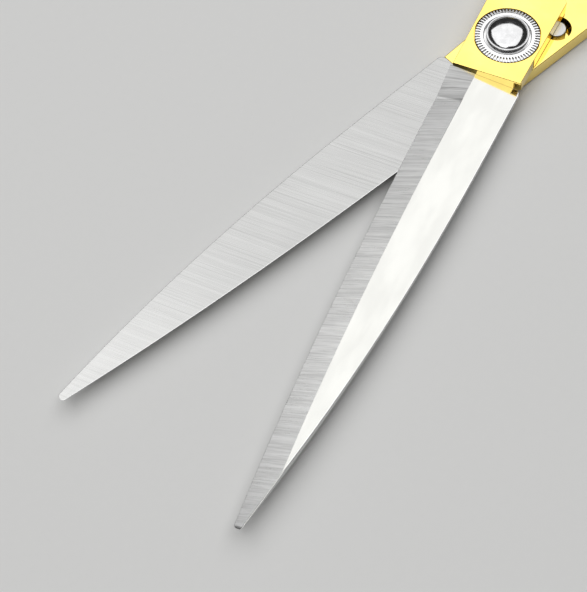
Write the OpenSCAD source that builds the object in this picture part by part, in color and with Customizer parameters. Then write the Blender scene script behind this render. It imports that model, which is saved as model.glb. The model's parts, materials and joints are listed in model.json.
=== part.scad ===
// Hair-cutting shears: two steel blades set in cast handle halves that turn on an adjustable pivot.
//
// The origin is on the pivot axis, at the flat underside of the pivot bolt's head, where the shears lie.
// +Z points up through the tension dial, and +X halves the angle between the open blades.
//
// Each half is drawn in its own plan, with x towards the tip and y towards its cutting edge.
// place_half() turns that plan to its side of the open pair. Heights are the real heights in both halves.

/* [Overall] */
// Distance from the pivot to the blade tips
blade_len = 88; // [70:1:110]
// Distance from the pivot to the far side of the finger rings
handle_len = 92; // [80:1:115]
// Angle between the two blades as drawn
open_angle = 21; // [5:0.5:45]

/* [Blades] */
// Width across the squared nose of a blade
nose_w = 1.15; // [0.8:0.05:2]
// Distance from the pivot at which the spine starts to curve in
belly_x = 20; // [10:1:30]
// Width of the ground bevel beside the cutting edge, at the root
bevel_w = 4.25; // [3:0.05:5]
// How much narrower that bevel is at the tip
bevel_taper = 0.7; // [0:0.05:1.2]
// Thickness left along the cutting edge
edge_t = 0.1; // [0.05:0.01:0.2]
// Rise of the bevel for each millimetre in from the cutting edge
bevel_rise = 0.33; // [0.2:0.01:0.4]
// Fall of the back facet for each millimetre from the ridge to the spine
back_fall = 0.12; // [0.05:0.01:0.14]
// How far the blade's cutting edge stands outside the bolster at the root
cut_proud = 0.3; // [0:0.05:0.6]
// Length over which the bevel runs out at the root
run_out = 1.8; // [1:0.1:3]
// How far that run-out stands above the ridge at the bolster
root_rise = 0.5; // [0:0.05:0.8]
// Length of the tongue that is brazed into the bolster
tang_len = 2.4; // [1.5:0.1:3]
// Thickness of that tongue
tang_t = 0.5; // [0.4:0.05:0.6]

/* [Bolsters] */
// Thickness of the rear bolster, from its underside to its inner face
rear_t = 2.7; // [2.4:0.1:3.6]
// Thickness of the front bolster, from its inner face to its top
front_t = 2.6; // [2.4:0.1:3.6]
// Metal left between the dial's recess and the bolster's side
rim_wall = 0.45; // [0.3:0.05:1.5]
// Distance from the dial's recess to the end of the bolster beside the blade
bolster_nose = 2.55; // [1.5:0.05:4]
// Distance from the dial's recess back to the heel corner
bolster_heel = 4.4; // [3:0.1:8]
// How much further the rear bolster reaches along its blade
rear_reach = 0.65; // [0:0.05:1.5]
// Slant of the front bolster's end, in degrees
end_slant = 4.5; // [0:0.5:10]

/* [Pivot] */
// Diameter of the tension dial
dial_d = 10.04; // [9:0.1:13]
// Height of the tension dial
dial_t = 0.75; // [0.6:0.05:1]
// How far the dial stands above the bolster
dial_proud = 0.15; // [0.05:0.05:0.4]
// Width of the serrated bevel round the dial
dial_bevel = 0.68; // [0.4:0.02:1]
// Height of that bevel
dial_bevel_h = 0.25; // [0.15:0.05:0.5]
// Diameter of the pivot bolt's shank
bolt_d = 4.4; // [3.6:0.1:5]
// Distance between the two flats along the shank
flats_w = 3.6; // [3:0.1:4]
// Diameter of the bolt's head
head_d = 8.8; // [7.5:0.1:10]
// Thickness of the bolt's head
head_t = 1.2; // [0.8:0.1:1.4]
// How far the bolt's head stands below the rear bolster
head_proud = 0.3; // [0.1:0.05:0.6]
// Diameter of the domed cap screw in the dial
cap_d = 6.7; // [5.6:0.1:7]
// Width of the dark groove between the cap screw and the dial
cap_groove = 0.37; // [0.1:0.01:0.5]
// Height of the cap screw's straight rim
cap_rim = 1.1; // [0.6:0.05:1.5]
// Height of the dome above its rim
dome_h = 0.65; // [0.4:0.05:1]
// Diameter of the cap screw's threaded stem
stem_d = 2; // [1.6:0.1:2.4]
// Wall of the bush in the front bolster
bush_wall = 0.95; // [0.5:0.05:1.2]
// Thickness of the thrust washer between the halves
thrust_t = 0.5; // [0.3:0.05:0.8]
// Thickness of the glide washer under the spring
glide_t = 0.25; // [0.2:0.05:0.3]
// Thickness of the spring washer
spring_t = 0.25; // [0.2:0.05:0.3]
// Thickness of the click washer
click_t = 0.3; // [0.2:0.05:0.35]

/* [Ride button] */
// Diameter of the round pocket in the rear bolster's inner face
pocket_d = 4.7; // [4:0.1:5.4]
// Depth of that pocket
pocket_depth = 1.6; // [1:0.1:1.8]
// Diameter of the steel button in the pocket
button_d = 3; // [2.4:0.1:3.6]

/* [Handles] */
// Width of a shank where it leaves the bolster
shank_w = 6.1; // [5:0.1:7.5]
// Size of the fillet between a shank's outer side and its ring
shank_fillet = 7; // [4:0.5:9]
// Diameter of the bore in each ring, which holds the insert
ring_bore_d = 22.4; // [20:0.2:28]
// Wall of each ring
ring_wall = 4.2; // [3.6:0.1:5.5]
// Height of each ring
ring_h = 5.4; // [4.8:0.1:6.5]
// Gap between the two rings when the shears are shut
ring_gap = 1.6; // [1:0.1:3]
// Wall of the soft inserts
insert_wall = 1; // [0.6:0.1:1.6]
// Height of the soft inserts
insert_h = 5; // [4:0.1:6]

/* [Finger rest and bumper] */
// Length of the finger rest along its curve
rest_len = 23; // [16:1:30]
// Diameter of the finger rest at its foot
rest_d = 4; // [3.4:0.1:4.6]
// Diameter of the finger rest near its tip
rest_tip_d = 3; // [2.4:0.1:3.6]
// Diameter of the finger rest's threaded stud
stud_d = 2.2; // [1.8:0.1:2.6]
// Length of that stud
stud_len = 2.8; // [2:0.1:3.2]
// Thickness of the washer under the finger rest
rest_washer_t = 0.4; // [0.3:0.1:0.6]
// Diameter of the rubber bumper's head
bumper_d = 4; // [3:0.1:4.6]
// Diameter of the bumper's stem
bumper_stem_d = 2.4; // [1.8:0.1:2.8]
// Length of the bumper's stem
bumper_stem = 2.2; // [1.5:0.1:2.8]

/* [Hidden] */
$fn = 64;

// Clearances
run_gap = 0.05; // round a turning fit
seat_gap = 0.02; // round a piece that is pressed or brazed in place
dial_gap = 0.18; // round the dial in its recess
bumper_gap = 0.15; // left between the bumper and the other ring when shut
seat_play = 0.1; // round the bumper's head in its seat
rest_play = 0.3; // round the finger rest's foot in its seat
eps = 0.01; // overshoot of a cutting tool

// Heights, from the table up
under_z = head_proud;
rear_z = under_z + rear_t;
front_z = rear_z + run_gap;
top_z = front_z + front_t;
thrust_floor_z = front_z - thrust_t;
dial_z = top_z + dial_proud - dial_t;
click_z = dial_z - click_t;
spring_z = click_z - spring_t;
glide_z = spring_z - glide_t;
cap_z = top_z - 0.35; // the cap screw is let in below the bolster's top
stem_z = front_z;
ring_z = ring_h / 2;

// Radii round the pivot
dial_r = dial_d / 2;
recess_r = dial_r + dial_gap;
bolt_r = bolt_d / 2;
head_r = head_d / 2;
bush_r = bolt_r + run_gap + bush_wall;
washer_margin = 0.45; // from the dial's edge to the edge of the washers under it
washer_r = dial_r - washer_margin;
thrust_margin = 1.4; // from the bolster's side to the thrust washer's edge
thrust_r = bolster_half() - thrust_margin;
bore_lean = 0.12; // how much narrower the dial's middle hole is at its foot
cap_r = cap_d / 2;
cap_bore_r = cap_r + cap_groove;

// Plan of a bolster
front_nose = recess_r + bolster_nose;
rear_nose = front_nose + rear_reach;
heel_x = recess_r + bolster_heel;
heel_y = bolster_half() + 0.1;
shank_gap = 0.35; // from the centre line to a shank's inner side
neck_run = 0.6; // from the end of the heel corner to the shank's full height
neck_x = heel_x + heel_y + shank_gap + neck_run;
// How far each bolster stands outside bolster_half(): outer side at its end, outer side at the neck,
// and inner side at its end
front_edges = [-0.25, 0.35, -0.25];
rear_edges = [0.2, 0.8, -0.5];
tang_w = 1.3 * bolster_half();
root_len = 2; // how far a bolster reaches into its shank
root_step = 0.5; // how far the bolster's far end lies inside its shank
root_round = 0.9; // of the corner between a blade's spine and its root
nose_round = 0.45; // of the two corners of its nose
relief = 0.6; // depth of the undercut beside the front blade's root corner
relief_w = 1.3; // its width, in from the bolster's side
relief_cover = 0.35; // metal left above it

// Places of the rings, the button and the finger rest
ring_bore_r = ring_bore_d / 2;
ring_out_r = ring_bore_r + ring_wall;
ring_x = -(handle_len - ring_out_r);
ring_y = ring_out_r + ring_gap / 2;
button_back = 2.8; // from the dial's recess back to the button
button_in = 2.65; // from the bolster's outer side in to the button
button_x = -(recess_r + button_back);
button_y = bolster_half() - button_in;
rest_angle = 150; // round the finger ring, from the direction of the tips
inner_join = -72; // where a shank's two sides run out along its ring
outer_join = -8;
join_depth = 0.6; // how far inside the ring's wall they end
shank_inset = 0.2; // how far a shank lies below the bolsters' faces at the neck
ring_inset = 0.15; // and below the ring's faces where it joins
bore_edge = 0.5; // height of the rounding at each end of a ring's bore
ring_turn = 37; // keeps the ring's own seam away from its seats

function bolster_half() = dial_d / 2 + dial_gap + rim_wall;

// ---- Curves and skins ----

// Closed skin over rings of points, each ring pts long: the two ends and two triangles a cell
function skin_faces(rings, pts) = concat(
    [[for (p = [0:pts - 1]) p]],
    [for (r = [0:rings - 2], p = [0:pts - 1], half = [0, 1])
        let (a = r * pts + p, b = r * pts + (p + 1) % pts)
        half == 0 ? [a, a + pts, b] : [b, a + pts, b + pts]],
    [[for (p = [pts - 1:-1:0]) (rings - 1) * pts + p]]);

// Point of a cubic curve over four control points
function curve_at(c, u) = pow(1 - u, 3) * c[0] + 3 * pow(1 - u, 2) * u * c[1]
    + 3 * (1 - u) * u * u * c[2] + pow(u, 3) * c[3];

// One coordinate of a squared-off oval, with n = 2 for an ellipse and more for squarer corners
function oval(c, n) = sign(c) * pow(abs(c), 2 / n);
function mix(a, b, u) = a + (b - a) * u;

// Section of a flat bar that spans two plan points, between the heights low and high
function bar_ring(p, q, low, high, n, pts) = [for (k = [0:pts - 1]) let (a = 360 * k / pts,
    at = mix(p, q, (1 + oval(cos(a), n)) / 2)) [at[0], at[1], mix(low, high, (1 + oval(sin(a), n)) / 2)]];

// ---- Placing ----

module place_half(front) {
    rotate([0, 0, (front ? 1 : -1) * open_angle / 2])
        mirror([0, front ? 1 : 0, 0]) children();
}

module tube(z, h, outer_r, inner_r) {
    translate([0, 0, z]) difference() {
        cylinder(r = outer_r, h = h);
        translate([0, 0, -eps]) cylinder(r = inner_r, h = h + 2 * eps);
    }
}

// Bar with two flats, as the bolt's shank and the holes that are keyed to it
module keyed_bar(z, h, gap) {
    translate([0, 0, z]) intersection() {
        cylinder(r = bolt_r + gap, h = h);
        translate([-bolt_r - 1, -flats_w / 2 - gap, 0])
            cube([2 * bolt_r + 2, flats_w + 2 * gap, h]);
    }
}

// ---- Blades ----

function cut_y(x) = let (u = x / blade_len, root = bolster_half() + cut_proud)
    root - (root - nose_w / 2) * (0.354 * u + 0.261 * u * u + 0.385 * u * u * u);
function spine_y(x) = bolster_half()
    - (bolster_half() - nose_w / 2) * pow(max(0, x - belly_x) / (blade_len - belly_x), 2.3);

// Stations along a blade: close together round the root corner and round the nose, with one where the
// bevel has run out
root_steps = 5;
body_steps = 26;
nose_steps = 5;
function blade_x(seam) = concat(
    [for (k = [0:root_steps - 1]) seam + root_round * (1 - cos(90 * k / root_steps))],
    [seam + root_round],
    [for (k = [0:body_steps]) mix(seam + run_out, blade_len - nose_round, k / body_steps)],
    [for (k = [1:nose_steps]) blade_len - nose_round + nose_round * sin(90 * k / nose_steps)]);

function corner_pull(r, into) = into <= 0 ? 0 : r - sqrt(max(0, r * r - into * into));

// Section of a blade: flat inner face, cutting edge, ridge between bevel and back facet, spine
function blade_ring(x, seam, slant) = let (
    nose = corner_pull(nose_round, x - (blade_len - nose_round)),
    root = corner_pull(root_round, seam + root_round - x),
    cut = cut_y(x) - nose * 0.9,
    spine = -spine_y(x) + root + nose * 0.9,
    ridge = max(cut - (bevel_w - bevel_taper * x / blade_len), spine + 0.04),
    ridge_h = edge_t + bevel_rise * (cut - ridge),
    edge_h = mix(ridge_h + root_rise, edge_t, min(1, (x - seam) / run_out)),
    spine_h = ridge_h - back_fall * (ridge - spine),
    lean = tan(slant) * (blade_len - x) / (blade_len - seam))
    [for (p = [[cut, 0], [cut, edge_h], [ridge, ridge_h], [spine, spine_h], [spine, 0]])
        [x + lean * p[0], p[0], p[1]]];

// Blade lying on its inner face, with its tongue reaching back from the root
module blade(nose, slant) {
    seam = nose + seat_gap;
    polyhedron([for (x = blade_x(seam)) each blade_ring(x, seam, slant)], skin_faces(len(blade_x(seam)), 5));
    tang(nose, slant, 0);
}

module tang(nose, slant, gap) {
    rotate([0, 0, -slant])
        translate([nose - tang_len - gap, -tang_w / 2 - gap, tang_t / 2 - gap])
            cube([tang_len + 1 + gap, tang_w + 2 * gap, tang_t + 2 * gap]);
}

module front_blade() {
    color("gainsboro") place_half(true) translate([0, 0, front_z]) blade(front_nose, end_slant);
}

module rear_blade() {
    color("gainsboro") place_half(false) translate([0, 0, rear_z]) mirror([0, 0, 1]) blade(rear_nose, 0);
}

// ---- Handle halves ----

// Plan of a bolster from its blade end, round the heel corner, back into the shank
module bolster_plan(nose, slant, edges) {
    b = bolster_half();
    outer = b + edges[0];
    inner = b + edges[2];
    polygon([[nose + tan(slant) * outer, outer], [nose - tan(slant) * inner, -inner],
        [-heel_x, -heel_y], [-heel_x - heel_y - shank_gap, shank_gap], [-neck_x - root_len, shank_gap],
        [-neck_x - root_len, shank_gap + shank_w - root_step], [-neck_x, b + edges[1]]]);
}

// Plan curves of a shank's two sides: each leaves the neck straight and runs out along its ring
function ring_point(a) = [ring_x, ring_y] + (ring_out_r - join_depth) * [cos(a), sin(a)];
shank_lead = (-neck_x - ring_x) * 0.35;
inner_side = let (p = ring_point(inner_join)) [[-neck_x, shank_gap], [-neck_x - shank_lead, shank_gap],
    p - 0.85 * shank_lead * [sin(inner_join), -cos(inner_join)], p];
outer_side = let (p = ring_point(outer_join), y = shank_gap + shank_w) [[-neck_x, y],
    [-neck_x - 1.3 * shank_lead, y], p - shank_fillet * [-sin(outer_join), cos(outer_join)], p];
shank_steps = 24;
shank_pts = 24;

// Shank: a bar whose squared section turns oval on its way to the ring
module shank() {
    rings = [for (k = [0:shank_steps]) let (u = k / shank_steps)
        bar_ring(curve_at(outer_side, u), curve_at(inner_side, u), mix(under_z, ring_inset, u),
            mix(top_z - shank_inset, ring_h - ring_inset, u), mix(6, 2.8, min(1, 1.6 * u)), shank_pts)];
    polyhedron([for (r = rings) each r], skin_faces(shank_steps + 1, shank_pts));
}

// Ring: a rounded wall about a cylindrical bore
module ring() {
    mid = ring_wall / 2;
    translate([ring_x, ring_y, 0]) rotate([0, 0, ring_turn]) rotate_extrude($fn = 96)
        polygon(concat([[ring_bore_r, ring_h - bore_edge], [ring_bore_r, bore_edge]],
            [for (a = [-80:16:80]) [ring_bore_r + mid * (0.6 + 1.4 * oval(cos(a), 2.4)),
                ring_z + ring_z * oval(sin(a), 2.4)]]));
}

module half_casting(low, high, nose, slant, edges) {
    difference() {
        union() {
            translate([0, 0, low]) linear_extrude(high - low) bolster_plan(nose, slant, edges);
            shank();
            ring();
        }
        translate([ring_x, ring_y, -1]) cylinder(r = ring_bore_r, h = ring_h + 2, $fn = 96);
    }
}

// Radial direction of the finger rest, seen from its ring
module at_rest_seat() {
    translate([ring_x, ring_y, ring_z]) rotate([0, 0, rest_angle])
        translate([ring_out_r, 0, 0]) rotate([0, 90, 0]) children();
}

// Side of the thumb ring that faces the other ring, looking out of it
module at_bumper_seat() {
    translate([ring_x, ring_y - ring_out_r, ring_z]) rotate([90, 0, 0]) children();
}
seat_depth = 0.35; // of the flat seats cut in the rings' outer walls
seat_tool = 3; // height of the tools that cut them

module front_handle() {
    color("gold") place_half(true) difference() {
        half_casting(front_z, top_z, front_nose, end_slant, front_edges);
        translate([0, 0, glide_z]) cylinder(r = recess_r, h = front_t);
        translate([0, 0, front_z - eps]) cylinder(r = bush_r + seat_gap, h = front_t);
        translate([0, 0, front_z]) tang(front_nose, end_slant, seat_gap);
        rotate([0, 0, -end_slant]) translate([front_nose - relief, -bolster_half() - 1, front_z - eps])
            cube([relief + 1, relief_w + 1, front_t - relief_cover]);
        at_bumper_seat() {
            translate([0, 0, -seat_depth]) cylinder(r = bumper_d / 2 + seat_play, h = seat_tool);
            translate([0, 0, -seat_depth - bumper_stem - seat_gap])
                cylinder(r = bumper_stem_d / 2 + seat_gap, h = bumper_stem + 1);
        }
    }
}

module rear_handle() {
    color("gold") place_half(false) difference() {
        half_casting(under_z, rear_z, rear_nose, 0, rear_edges);
        translate([0, 0, under_z - eps]) cylinder(r = head_r + seat_gap, h = head_t - head_proud + eps);
        translate([0, 0, thrust_floor_z]) cylinder(r = thrust_r + run_gap, h = rear_t);
        keyed_bar(0, rear_z + 1, seat_gap);
        translate([button_x, button_y, rear_z - pocket_depth]) cylinder(d = pocket_d, h = rear_t);
        translate([0, 0, rear_z]) mirror([0, 0, 1]) tang(rear_nose, 0, seat_gap);
        at_rest_seat() {
            translate([0, 0, -seat_depth]) cylinder(r = rest_d / 2 + rest_play, h = seat_tool);
            translate([0, 0, -seat_depth - stud_len - seat_gap])
                cylinder(r = stud_d / 2 + seat_gap, h = stud_len + 1);
        }
    }
}

// ---- Pivot ----

module pivot_bolt() {
    color("silver") place_half(false) difference() {
        union() {
            cylinder(r = head_r, h = head_t);
            keyed_bar(head_t - eps, cap_z - head_t + eps, 0);
        }
        translate([0, 0, stem_z - seat_gap]) cylinder(r = stem_d / 2 + seat_gap, h = front_t);
    }
}

module thrust_washer() {
    color("dimgray") tube(thrust_floor_z, thrust_t, thrust_r, bolt_r + run_gap);
}

module pivot_bush() {
    color("peru") tube(front_z, glide_z - front_z, bush_r, bolt_r + run_gap);
}

module glide_washer() {
    color("whitesmoke") tube(glide_z, glide_t, washer_r, bolt_r + run_gap);
}

module spring_washer() {
    color("slategray") tube(spring_z, spring_t, washer_r - 0.3, bolt_r + run_gap);
}

// Keyed to the bolt's flats, so it never turns with the dial
module click_washer() {
    color("slategray") place_half(false) difference() {
        translate([0, 0, click_z]) cylinder(r = washer_r, h = click_t);
        keyed_bar(click_z - eps, click_t + 2 * eps, run_gap);
    }
}

module tension_dial() {
    top = dial_z + dial_t;
    color("lightgray") rotate_extrude($fn = 128) polygon([[bolt_r + run_gap, dial_z],
        [dial_r, dial_z], [dial_r, top - dial_bevel_h], [dial_r - dial_bevel, top],
        [cap_bore_r, top], [cap_bore_r - bore_lean, cap_z - seat_gap], [bolt_r + run_gap, cap_z - seat_gap]]);
}

// Domed head that closes the dial's centre, on a stem screwed into the bolt
module cap_screw() {
    ball_r = (cap_r * cap_r + dome_h * dome_h) / (2 * dome_h);
    color("white") {
        translate([0, 0, cap_z]) cylinder(r = cap_r, h = cap_rim);
        intersection() {
            translate([0, 0, cap_z + cap_rim + dome_h - ball_r]) sphere(r = ball_r, $fn = 128);
            translate([0, 0, cap_z + cap_rim / 2]) cylinder(r = cap_r, h = dome_h + cap_rim);
        }
        translate([0, 0, stem_z]) cylinder(r = stem_d / 2, h = cap_z - stem_z + cap_rim / 2);
    }
}

module ride_button() {
    floor_z = rear_z - pocket_depth;
    color("darkgray") place_half(false) translate([button_x, button_y, floor_z])
        cylinder(d = button_d, h = pocket_depth + run_gap / 2);
}

// ---- Rings' inserts, bumper and finger rest ----

// Soft ring with a bulging inner side
module ring_insert() {
    outer = ring_bore_r - seat_gap;
    translate([ring_x, ring_y, 0]) rotate_extrude($fn = 96)
        polygon(concat([[outer, ring_z - insert_h / 2], [outer, ring_z + insert_h / 2]],
            [for (a = [80:-20:-80]) [outer - insert_wall * (0.4 + 0.6 * cos(a)),
                ring_z + insert_h / 2 * sin(a) / sin(80)]]));
}

module thumb_insert() {
    color("dimgray") place_half(true) ring_insert();
}

module finger_insert() {
    color("dimgray") place_half(false) ring_insert();
}

module stop_bumper() {
    head = seat_depth + ring_gap - bumper_gap;
    color("dimgray") place_half(true) at_bumper_seat() {
        translate([0, 0, -seat_depth]) cylinder(r = bumper_d / 2, h = head);
        translate([0, 0, -seat_depth - bumper_stem]) cylinder(r = bumper_stem_d / 2, h = bumper_stem + 0.1);
    }
}

module rest_washer() {
    color("dimgray") place_half(false) at_rest_seat()
        tube(-seat_depth, rest_washer_t, (rest_d + rest_play) / 2, stud_d / 2 + seat_gap);
}

// Horn that curves away from the ring, tapering to a round tip, with its stud in the ring's wall
rest_steps = 14;
rest_pts = 16;
rest_bend = 55; // how far it turns from foot to tip

module finger_rest() {
    foot_z = rest_washer_t - seat_depth;
    bend_r = rest_len / (rest_bend * PI / 180);
    rings = [for (k = [0:rest_steps]) let (u = sin(90 * k / rest_steps), a = rest_bend * u,
        tip = sqrt(max(0.0004, 1 - pow(max(0, u - 0.93) / 0.07, 2))),
        r = mix(rest_d, rest_tip_d, sin(90 * u)) / 2 * tip)
        [for (p = [0:rest_pts - 1]) let (t = 360 * p / rest_pts, off = bend_r + r * cos(t))
            [bend_r - off * cos(a), -r * sin(t), foot_z + off * sin(a)]]];
    color("gold") place_half(false) at_rest_seat() {
        rotate([0, 0, 90]) polyhedron([for (r = rings) each r], skin_faces(rest_steps + 1, rest_pts));
        translate([0, 0, -seat_depth - stud_len]) cylinder(r = stud_d / 2, h = stud_len + rest_washer_t + 0.5);
    }
}

front_blade();
rear_blade();
front_handle();
rear_handle();
pivot_bolt();
pivot_bush();
thrust_washer();
glide_washer();
spring_washer();
click_washer();
tension_dial();
cap_screw();
ride_button();
thumb_insert();
finger_insert();
stop_bumper();
finger_rest();
rest_washer();
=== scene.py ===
"""Hair-cutting shears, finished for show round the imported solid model.

The frame has its origin on the pivot axis at the underside of the bolt's head, +Z up through the tension dial
and +X between the open blades. Each half is worked out in its own plan, with x towards the tip and y towards
its cutting edge, in millimetres. place() then turns that plan to its side of the open pair.
"""
import json
import math

import bmesh
import bpy
import numpy as np
from mathutils import Matrix, Vector


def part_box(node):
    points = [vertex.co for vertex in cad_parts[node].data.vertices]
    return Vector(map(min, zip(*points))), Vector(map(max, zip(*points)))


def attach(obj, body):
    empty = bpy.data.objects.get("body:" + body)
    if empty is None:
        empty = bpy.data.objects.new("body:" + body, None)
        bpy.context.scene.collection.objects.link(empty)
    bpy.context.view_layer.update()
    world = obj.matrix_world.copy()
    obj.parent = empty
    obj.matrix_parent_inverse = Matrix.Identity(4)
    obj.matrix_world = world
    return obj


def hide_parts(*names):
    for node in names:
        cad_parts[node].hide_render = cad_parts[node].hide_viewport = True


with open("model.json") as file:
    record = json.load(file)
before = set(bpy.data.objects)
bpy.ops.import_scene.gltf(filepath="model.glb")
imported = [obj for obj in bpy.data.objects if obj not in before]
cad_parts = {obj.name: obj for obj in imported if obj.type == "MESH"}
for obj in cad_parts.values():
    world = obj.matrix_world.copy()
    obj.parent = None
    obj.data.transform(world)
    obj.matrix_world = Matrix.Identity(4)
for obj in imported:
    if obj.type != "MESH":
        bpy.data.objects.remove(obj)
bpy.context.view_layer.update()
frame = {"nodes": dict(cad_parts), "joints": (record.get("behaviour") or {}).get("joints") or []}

bl_info = {
    "name": "Hair Shears",
    "version": (1, 0, 0),
    "blender": (4, 5, 0),
    "location": "View3D > Sidebar > Shears",
    "description": "Builds the blades, handles, pivot and fittings of a pair of hair-cutting shears",
    "category": "Object",
}

MM = 0.001


# ---- Places and sizes taken from the frame ----

def low(node):
    """Lowest corner of a frame node, in millimetres."""
    return np.array(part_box(node)[0]) / MM


def high(node):
    """Highest corner of a frame node, in millimetres."""
    return np.array(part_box(node)[1]) / MM


SWING = next(j for j in frame["joints"] if j["name"] == "blade_pivot")
OPENING = math.radians(-SWING["range_deg"][0])
REAR_Z = high("rear_blade")[2]
FRONT_Z = low("front_blade")[2]
TOP_Z = high("front_handle")[2]
DIAL_R = high("tension_dial")[0]
DIAL_Z = low("tension_dial")[2]
DIAL_TOP = high("tension_dial")[2]
CAP_R = high("cap_screw")[0]
CAP_TOP = high("cap_screw")[2]
STEM_Z = low("cap_screw")[2]
HEAD_R = high("pivot_bolt")[0]
CAP_Z = high("pivot_bolt")[2]
GLIDE_Z = low("glide_washer")[2]
THRUST_Z = low("thrust_washer")[2]
THRUST_R = high("thrust_washer")[0]
BUSH_R = high("pivot_bush")[0]


def half_turn(front):
    """Turn of a half about the pivot, from its plan to its side of the open pair."""
    return (1 if front else -1) * OPENING / 2


def into_plan(x, y, front):
    """Plan place of a point of the open pair: turned back by half the opening, then mirrored if it is on the
    front half."""
    turn = -half_turn(front)
    px, py = x * math.cos(turn) - y * math.sin(turn), x * math.sin(turn) + y * math.cos(turn)
    return np.array([px, -py if front else py])


RING = into_plan(*((low("finger_insert") + high("finger_insert")) / 2)[:2], False)
RING_BORE = (high("finger_insert") - low("finger_insert"))[0] / 2 + 0.02
RING_Z = ((low("finger_insert") + high("finger_insert")) / 2)[2]
INSERT_H = (high("finger_insert") - low("finger_insert"))[2]
BUTTON = into_plan(*((low("ride_button") + high("ride_button")) / 2)[:2], False)
BUTTON_R = (high("ride_button") - low("ride_button"))[0] / 2
BUTTON_Z = (low("ride_button")[2], high("ride_button")[2])


def place(points, front):
    """Turns plan points to their side of the open pair: the front half is mirrored in y, and each half then
    turns about the pivot by half the opening."""
    x, y, z = np.moveaxis(np.asarray(points, float), -1, 0)
    turn = half_turn(front)
    y = -y if front else y
    return np.stack([x * math.cos(turn) - y * math.sin(turn), x * math.sin(turn) + y * math.cos(turn), z], -1)


# ---- Surfaces ----

SHARP = math.radians(32)  # an edge that turns by more than this is drawn as an edge
HOLD = 0.06  # flat kept beside a rounded corner, in millimetres


def mix(a, b, share):
    """Between a and b."""
    return a + (b - a) * share


def ease(t):
    """Smooth step: three t squared less two t cubed, held between 0 and 1."""
    t = np.clip(t, 0, 1)
    return t * t * (3 - 2 * t)


def corner(before, at, after, size, steps=4):
    """Rounded corner of each section: a quadratic curve that starts `size` before the corner and ends `size`
    after it. One more point on each side holds the flat beside it. Arrays are (sections, coordinates)."""
    size = np.broadcast_to(np.asarray(size, float), at.shape[:1])[:, None]
    ends = []
    for other in (before, after):
        arm = other - at
        span = np.linalg.norm(arm, axis=1, keepdims=True)
        arm = arm / np.maximum(span, 1e-9)
        ends.append((at + arm * np.minimum(size + HOLD, 0.49 * span), at + arm * np.minimum(size, 0.46 * span)))
    (hold_in, start), (hold_out, stop) = ends
    t = np.linspace(0, 1, steps + 1)[None, :, None]
    curve = (1 - t) ** 2 * start[:, None] + 2 * t * (1 - t) * at[:, None] + t ** 2 * stop[:, None]
    return np.concatenate([hold_in[:, None], curve, hold_out[:, None]], axis=1)


def rounded(path, size, steps=4):
    """One rounded corner: path is the points before, at and after it."""
    return corner(*[np.array([point], float) for point in path], size, steps)[0]


def soften(corners, sizes, steps=4):
    """Closed sections with every corner rounded: corners is (sections, corners, coordinates)."""
    return np.concatenate([corner(corners[:, k - 1], corners[:, k], corners[:, (k + 1) % corners.shape[1]],
                                  sizes[k], steps) for k in range(corners.shape[1])], axis=1)


def outline(corners, sizes, steps=4):
    """One closed profile of (radius, height) corners, rounded."""
    return soften(np.array([corners], float), sizes, steps)[0]


def lathe(profile, turns=128):
    """Grid of a profile carried round the upright axis: x and y are the radius times the cosine and sine of
    the turn, and z is the height."""
    turn = np.linspace(0, 2 * math.pi, turns, endpoint=False)[:, None]
    radius, height = profile[None, :, 0], profile[None, :, 1]
    return np.stack([radius * np.cos(turn), radius * np.sin(turn), height + 0 * turn], -1)


def finish_mesh(mesh):
    """Merges the points that meet at seams and poles, turns the faces outwards and shades them smooth up to a
    sharp edge."""
    shape = bmesh.new()
    shape.from_mesh(mesh)
    bmesh.ops.remove_doubles(shape, verts=shape.verts, dist=2e-7)
    bmesh.ops.dissolve_degenerate(shape, edges=shape.edges, dist=1e-7)
    bmesh.ops.recalc_face_normals(shape, faces=shape.faces)
    shape.to_mesh(mesh)
    shape.free()
    mesh.shade_smooth()
    mesh.set_sharp_from_angle(angle=SHARP)


def skin(name, grid, loop=True, strips=None, pinched=False):
    """Closed skin over a grid of (rings, points, 3) in millimetres. The points of a ring go round. The last
    ring joins the first, or with loop off end faces close the skin. A pinched skin starts at a ring whose two
    sides meet, so it needs no face there. strips gives each lengthwise strip a finish."""
    rings, points = grid.shape[:2]
    index = np.arange(rings * points).reshape(rings, points)
    here, on = (index, np.roll(index, -1, axis=0)) if loop else (index[:-1], index[1:])
    quads = np.stack([here, np.roll(here, -1, axis=1), np.roll(on, -1, axis=1), on], axis=-1).reshape(-1, 4)
    faces = quads.tolist()
    ends = [] if loop else [index[-1].tolist()] if pinched else [index[0, ::-1].tolist(), index[-1].tolist()]
    faces += ends
    mesh = bpy.data.meshes.new(name)
    mesh.from_pydata((grid.reshape(-1, 3) * MM).tolist(), [], faces)
    if strips is not None:
        finish = np.concatenate([np.tile(strips, len(here)), np.zeros(len(ends), int)])
        mesh.polygons.foreach_set("material_index", finish.astype(np.int32))
    finish_mesh(mesh)
    piece = bpy.data.objects.new(name, mesh)
    bpy.context.scene.collection.objects.link(piece)
    return piece


def joined(name, parts):
    """One object from several skins that don't touch."""
    shape = bmesh.new()
    for part in parts:
        shape.from_mesh(part.data)
        bpy.data.objects.remove(part)
    mesh = bpy.data.meshes.new(name)
    shape.to_mesh(mesh)
    shape.free()
    piece = bpy.data.objects.new(name, mesh)
    bpy.context.scene.collection.objects.link(piece)
    return piece


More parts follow.
